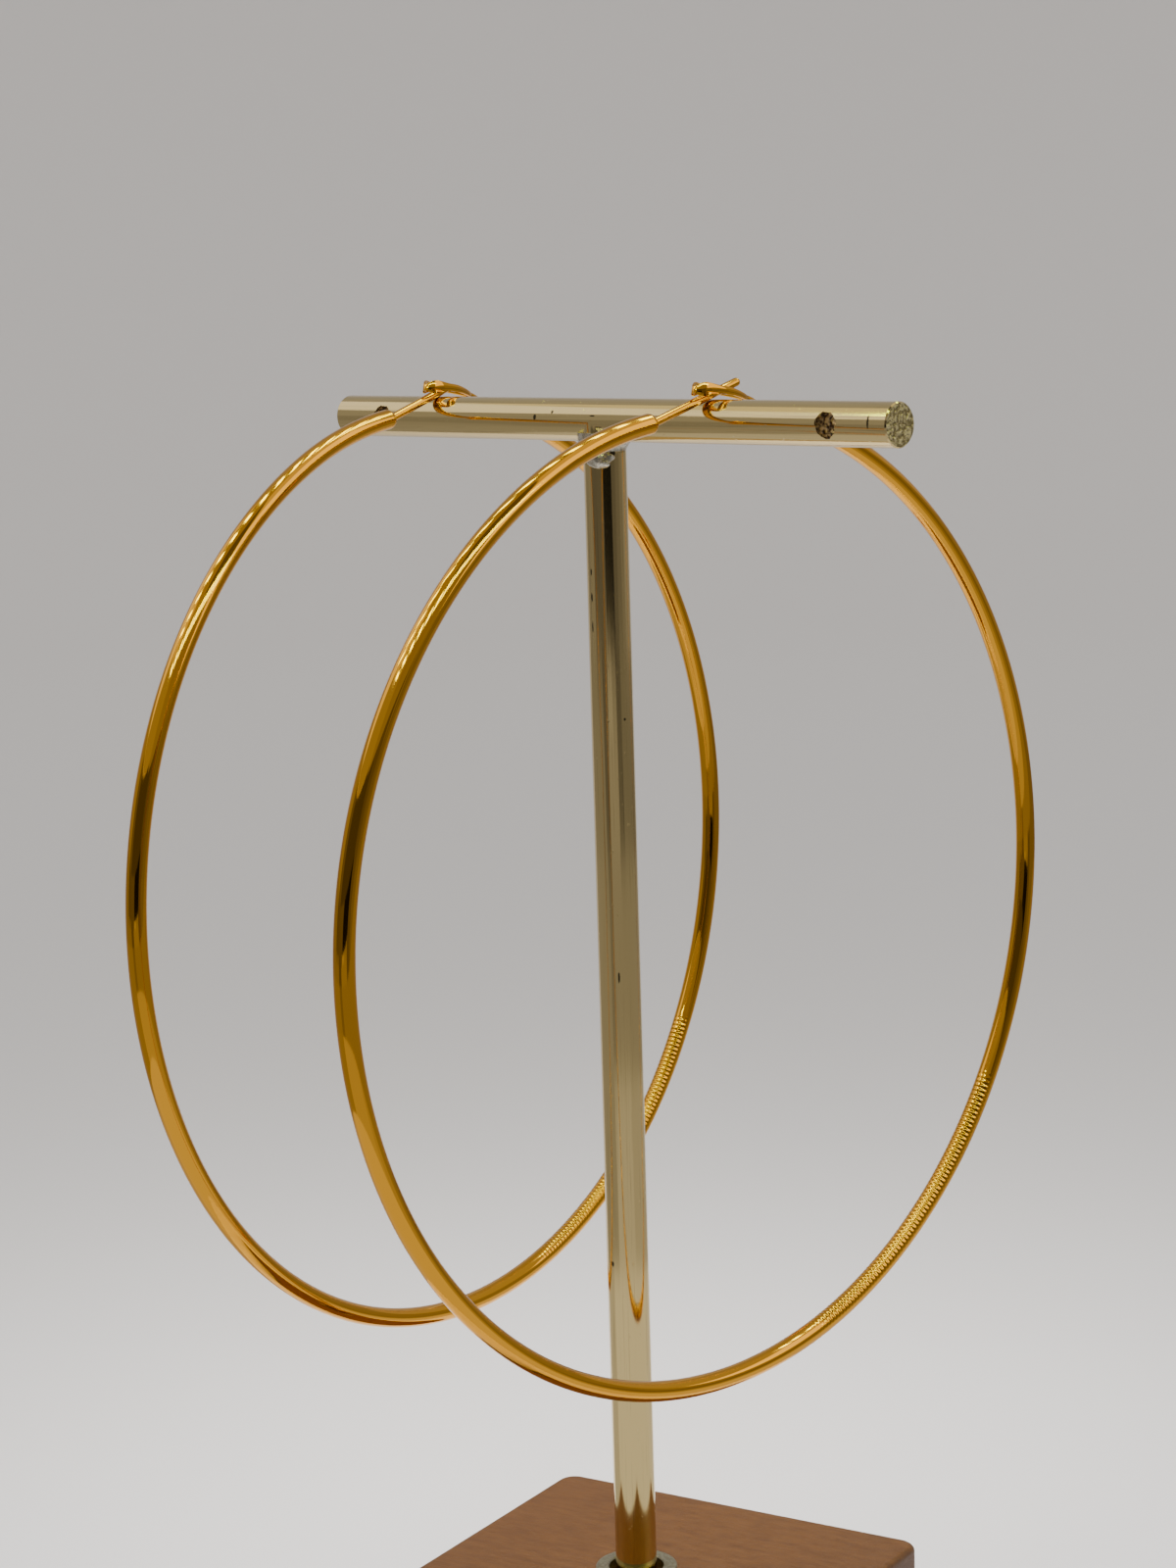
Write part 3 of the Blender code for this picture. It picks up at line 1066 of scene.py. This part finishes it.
class WoodBase:
    """The square wooden block with its socket for the post."""

    def __init__(self) -> None:
        """Keep the block's sizes."""
        self.sizes = BaseSizes()

    def outline(self, inset: float) -> list[Vector]:
        """The block's rounded square, drawn in from its sides.

        Args:
            inset: How far it is drawn in.

        Returns:
            The points, at height nought.
        """
        half = self.sizes.side / 2.0 - inset
        corner = max(self.sizes.corner - inset * 0.5, 0.0004)
        points = []
        for quarter in range(4):
            middle = radians(45.0 + 90.0 * quarter)
            centre = Vector([copysign(half - corner, way) for way in (cos(middle), sin(middle))] + [0.0])
            for step in range(9):
                turn = radians(90.0 * quarter + 90.0 * step / 8.0)
                points.append(centre + corner * Vector((cos(turn), sin(turn), 0.0)))
        return points

    def build(self) -> None:
        """Build the block."""
        size = self.sizes
        profile = [(size.edge * (1.0 - s), size.edge * (1.0 - c)) for c, s in quarter(6)]
        profile += [(inset, size.height - rise) for inset, rise in reversed(profile)]
        draft = MeshDraft("wood_block")
        draft.skin([[p + z * Z_AXIS for p in self.outline(inset)] for inset, z in profile])
        block = draft.build([FineWood().build("wood_grain")], 30.0)
        tool = MeshDraft("socket")
        levels = (size.height - size.socket_depth, size.height * 1.5)
        tool.skin(turned([(level, size.socket_radius) for level in levels], 64))
        carve(block, tool.build([block.data.materials[0]]), "DIFFERENCE")
        block.data.set_sharp_from_angle(angle=radians(30.0))
        block.rotation_euler = (0.0, 0.0, radians(size.turn_deg))
        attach(block, "root")
        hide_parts("wood_base")
        LOG.info("built %s", block.name)


# Studio.


SUNNY = (1.0, 1.34, 0.10)
WARM = (1.0, 0.92, 0.65)


@dataclass(frozen=True)
class TentPanel:
    """A patch of the light tent, by azimuth and elevation from the hoops' middle, in degrees."""

    name: str
    azimuths: Pair
    lows: Pair
    highs: Pair
    strength: float
    radii: Pair = (0.60, 0.60)
    tint: Triple = (1.0, 0.98, 0.94)


@dataclass(frozen=True)
class LowBand:
    """A band of the dark room or of the table in front, split along its azimuth, in degrees.

    Each part starts at an azimuth, has a strength, and reaches to the next part or to the end.
    """

    name: str
    low: float
    high: float
    radii: Pair
    parts: tuple[Pair, ...]
    end: float = 100.0

    def panels(self) -> list[TentPanel]:
        """Split the band into its panels.

        Returns:
            One panel for each part.
        """
        stops = [start for start, _ in self.parts[1:]] + [self.end]
        panels = []
        for i, ((start, strength), stop) in enumerate(zip(self.parts, stops)):
            lows, highs = (self.low, self.low), (self.high, self.high)
            panels.append(TentPanel(f"{self.name}_{i}", (start, stop), lows, highs, strength, self.radii))
        return panels


@dataclass(frozen=True)
class DiodeRow:
    """A row of light bars under the tent's ceiling, each of which lies along X."""

    name: str
    start: Triple
    end: Triple
    count: int
    depth: float
    width: float = 0.011
    strength: float = 10.6


@dataclass(frozen=True)
class TentSizes:
    """The light tent round the stand, which only shows in reflections."""

    middle: float = 0.087
    column_deg: float = 4.0
    panel_rows: int = 8
    panels: tuple[TentPanel, ...] = (
        TentPanel("ceiling_high", (-180.0, 180.0), (72.0, 72.0), (90.0, 90.0), 0.45, tint=WARM),
        TentPanel("ceiling_left", (-180.0, -45.0), (60.0, 60.0), (72.0, 72.0), 0.45, tint=WARM),
        TentPanel("ceiling_front", (-45.0, 15.0), (50.0, 40.0), (72.0, 72.0), 0.15),
        TentPanel("ceiling_right", (15.0, 65.0), (45.0, 45.0), (72.0, 72.0), 0.9, tint=WARM),
        TentPanel("ceiling_back", (65.0, 180.0), (58.0, 58.0), (72.0, 72.0), 0.6),
        TentPanel("band_left", (-180.0, -95.0), (46.0, 46.0), (60.0, 60.0), 1.0, tint=WARM),
        TentPanel("band_front", (-95.0, -45.0), (46.0, 44.0), (60.0, 60.0), 0.5, tint=WARM),
        TentPanel("band_right", (-45.0, 15.0), (36.0, 24.0), (50.0, 40.0), 0.35, tint=WARM),
        TentPanel("haze_left", (-180.0, -125.0), (26.0, 26.0), (46.0, 46.0), 1.35),
        TentPanel("haze_front", (-125.0, -45.0), (26.0, 24.0), (46.0, 44.0), 0.45),
        TentPanel("haze_right", (-45.0, 15.0), (22.0, 14.0), (36.0, 24.0), 0.35),
        TentPanel("wall_right", (15.0, 52.0), (14.0, 13.0), (45.0, 45.0), 2.0, tint=WARM),
        TentPanel("back_right", (52.0, 98.0), (12.0, 12.0), (45.0, 58.0), 0.55),
        TentPanel("back", (98.0, 180.0), (26.0, 26.0), (58.0, 58.0), 0.45),
    )
    low_bands: tuple[LowBand, ...] = (
        LowBand("dusk", 4.0, 24.0, (0.94, 0.94), (
            (-180.0, 0.40), (-125.0, 0.18), (-100.0, 0.09), (-20.0, 0.14), (10.0, 0.28), (28.0, 0.42),
            (52.0, 0.34))),
        LowBand("night", -5.3, 4.0, (0.94, 0.94), (
            (-180.0, 0.30), (-125.0, 0.14), (-95.0, 0.15), (-61.0, 0.012), (-17.0, 0.15), (5.0, 0.19),
            (30.0, 0.25), (52.0, 0.34))),
        LowBand("table_edge", -6.8, -5.3, (0.73, 0.92), (
            (-180.0, 0.28), (-125.0, 0.24), (-95.0, 0.15), (-66.0, 0.52), (-44.0, 0.34), (-22.0, 0.14),
            (5.0, 0.23))),
        LowBand("table_far", -10.0, -6.8, (0.489, 0.73), (
            (-180.0, 0.30), (-95.0, 0.15), (-72.0, 0.38), (-22.0, 0.15), (5.0, 0.22))),
        LowBand("table_middle", -18.0, -10.0, (0.275, 0.489), ((-180.0, 0.35), (-92.0, 0.24), (-72.0, 0.34))),
        LowBand("table_near", -30.0, -18.0, (0.170, 0.275), ((-180.0, 0.38), (-92.0, 0.62), (0.0, 0.52))),
        LowBand("table_close", -58.0, -30.0, (0.100, 0.170), ((-180.0, 0.65), (-130.0, 0.90))),
    )
    rows: tuple[DiodeRow, ...] = (
        DiodeRow("over", (-0.165, -0.200, 0.350), (0.080, 0.200, 0.350), 17, 0.080),
        DiodeRow("front", (0.050, -0.250, 0.350), (0.450, 0.170, 0.350), 18, 0.090),
    )


@dataclass(frozen=True)
class StageSizes:
    """The round sweep of paper that the stand is seen against."""

    floor_radius: float = 1.0
    sweep_radius: float = 0.6
    wall_height: float = 0.9
    sides: int = 96
    air: float = 0.90


@dataclass(frozen=True)
class LampSizes:
    """The soft square lamp over the stand, which points straight down as a lamp does unturned."""

    name: str = "near_lamp"
    place: Triple = (-0.03, 0.03, 0.155)
    size: float = 0.12
    watts: float = 0.48


@dataclass(frozen=True)
class CameraSizes:
    """The camera's place, as solved from the photo's outlines."""

    eye: Triple = (0.219309, -0.228797, 0.015321)
    azimuth_deg: float = 44.25516
    elevation_deg: float = 9.14034
    roll_deg: float = -1.70658
    focal_share: float = 3321.212 / 1600.0
    sensor_mm: float = 36.0
    clip_start: float = 0.01


class Studio:
    """Paper sweep, light tent, lamp and camera."""

    def __init__(self, bar_height: float) -> None:
        """Keep the sizes of the studio.

        Args:
            bar_height: The height of the bar's axis, which the camera was solved about.
        """
        self.bar_height = bar_height
        self.stage = StageSizes()
        self.tent = TentSizes()
        self.lamp = LampSizes()
        self.camera = CameraSizes()

    def build_sweep(self) -> None:
        """Build the floor that curves up into a wall all round."""
        size = self.stage
        profile = [(0.0, 0.02), (0.0, size.floor_radius)]
        for c, s in quarter(16)[1:]:
            profile.append((size.sweep_radius * (1.0 - c), size.floor_radius + size.sweep_radius * s))
        profile.append((size.wall_height, size.floor_radius + size.sweep_radius))
        draft = MeshDraft("paper_sweep")
        rings = draft.skin(turned(profile, size.sides), capped=False)
        draft.bm.faces.new(rings[0])
        sweep = draft.build([Paper().build("paper")], 60.0)
        LOG.info("built %s", sweep.name)

    def aim(self, azimuth: float, elevation: float, radius: float) -> Vector:
        """The point in a direction from the hoops' middle.

        Args:
            azimuth: Degrees from +X towards +Y.
            elevation: Degrees above the horizon.
            radius: How far away it is.

        Returns:
            The point.
        """
        a, e = radians(azimuth), radians(elevation)
        way = Vector((cos(a) * cos(e), sin(a) * cos(e), sin(e)))
        return Vector((0.0, 0.0, self.tent.middle)) + radius * way

    def build_panel(self, panel: TentPanel) -> None:
        """Build one patch of the tent.

        Args:
            panel: The patch.
        """
        columns = max(4, int(abs(panel.azimuths[1] - panel.azimuths[0]) / self.tent.column_deg))
        rows = self.tent.panel_rows
        draft = MeshDraft("tent_" + panel.name)
        grid = []
        for i in range(columns + 1):
            spans = (panel.azimuths, panel.lows, panel.highs)
            azimuth, low, high = (span[0] + (span[1] - span[0]) * (i / columns) for span in spans)
            near, far = panel.radii
            points = []
            for j in range(rows + 1):
                level, radius = low + (high - low) * j / rows, near + (far - near) * j / rows
                points.append(self.aim(azimuth, level, radius))
            if high < 0.0:
                points = [points[0].lerp(points[-1], j / rows) for j in range(rows + 1)]
            grid.append(draft.ring(points))
        for first, second in zip(grid, grid[1:]):
            for j in range(rows):
                draft.bm.faces.new((first[j], first[j + 1], second[j + 1], second[j]))
        patch = draft.build([Glow(panel.strength, panel.tint).build("glow_" + panel.name)], 60.0)
        self.only_reflected(patch)
        LOG.info("built %s", patch.name)

    def build_row(self, row: DiodeRow) -> None:
        """Build a row of small lights.

        Args:
            row: The row.
        """
        start, end = Vector(row.start), Vector(row.end)
        draft = MeshDraft("diodes_" + row.name)
        half = Vector((row.depth / 2.0, row.width / 2.0, 0.0))
        for i in range(row.count):
            centre = start.lerp(end, i / (row.count - 1))
            corners = [centre + half * Vector((x, y, 0.0)) for x, y in ((-1, -1), (1, -1), (1, 1), (-1, 1))]
            draft.bm.faces.new(draft.ring(corners))
        lights = draft.build([Glow(row.strength, SUNNY).build("glow_" + row.name)])
        self.only_reflected(lights)
        LOG.info("built %s", lights.name)

    @staticmethod
    def only_reflected(obj: Piece) -> None:
        """Make a stage piece show in reflections and nowhere else."""
        obj.visible_camera = obj.visible_diffuse = obj.visible_shadow = obj.visible_transmission = False

    def build_lamp(self) -> None:
        """Build the lamp, which doesn't show in reflections."""
        size = self.lamp
        data = bpy.data.lights.new(size.name, "AREA")
        data.size = size.size
        data.energy = size.watts
        lamp = bpy.data.objects.new(size.name, data)
        bpy.context.scene.collection.objects.link(lamp)
        lamp.location = size.place
        lamp.visible_glossy = lamp.visible_camera = False

    def build_camera(self) -> None:
        """Build the camera at the photo's place and angle."""
        size = self.camera
        azimuth, elevation = radians(size.azimuth_deg), radians(size.elevation_deg)
        roll = radians(size.roll_deg)
        back = Vector((sin(azimuth) * cos(elevation), -cos(azimuth) * cos(elevation), sin(elevation)))
        level = Z_AXIS.cross(back).normalized()
        upright = back.cross(level)
        right = cos(roll) * level + sin(roll) * upright
        up = cos(roll) * upright - sin(roll) * level
        data = bpy.data.cameras.new("photo_camera")
        data.sensor_width = size.sensor_mm
        data.lens = size.sensor_mm * size.focal_share
        data.clip_start = size.clip_start
        camera = bpy.data.objects.new("photo_camera", data)
        bpy.context.scene.collection.objects.link(camera)
        turn = Matrix((right, up, back)).transposed().to_4x4()
        camera.matrix_world = Matrix.Translation(Vector(size.eye) + self.bar_height * Z_AXIS) @ turn
        bpy.context.scene.camera = camera

    def build_world(self) -> None:
        """Give the surroundings a faint even light."""
        world = bpy.data.worlds.new("studio_air")
        world.use_nodes = True
        inputs = world.node_tree.nodes["Background"].inputs
        inputs["Color"].default_value = (1.0, 1.0, 1.0, 1.0)
        inputs["Strength"].default_value = self.stage.air
        bpy.context.scene.world = world

    def build(self) -> None:
        """Build the sweep, the tent, the lamp and the camera."""
        self.build_sweep()
        for panel in self.tent.panels:
            self.build_panel(panel)
        for band in self.tent.low_bands:
            for panel in band.panels():
                self.build_panel(panel)
        for row in self.tent.rows:
            self.build_row(row)
        self.build_lamp()
        self.build_world()
        self.build_camera()


def main() -> None:
    """Build the earrings, the stand and the studio."""
    bar_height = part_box("stand_rod")[1].z - RodSizes().radius
    base_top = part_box("wood_base")[1].z
    gold = PolishedGold().build("polished_gold")
    for hang in HANGS:
        Earring(hang, gold, bar_height, RodSizes().radius).build()
    StandRod(bar_height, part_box("stand_rod")[0].z).build()
    Ferrule(base_top).build()
    WoodBase().build()
    Studio(bar_height).build()


if __name__ == "__main__":
    main()
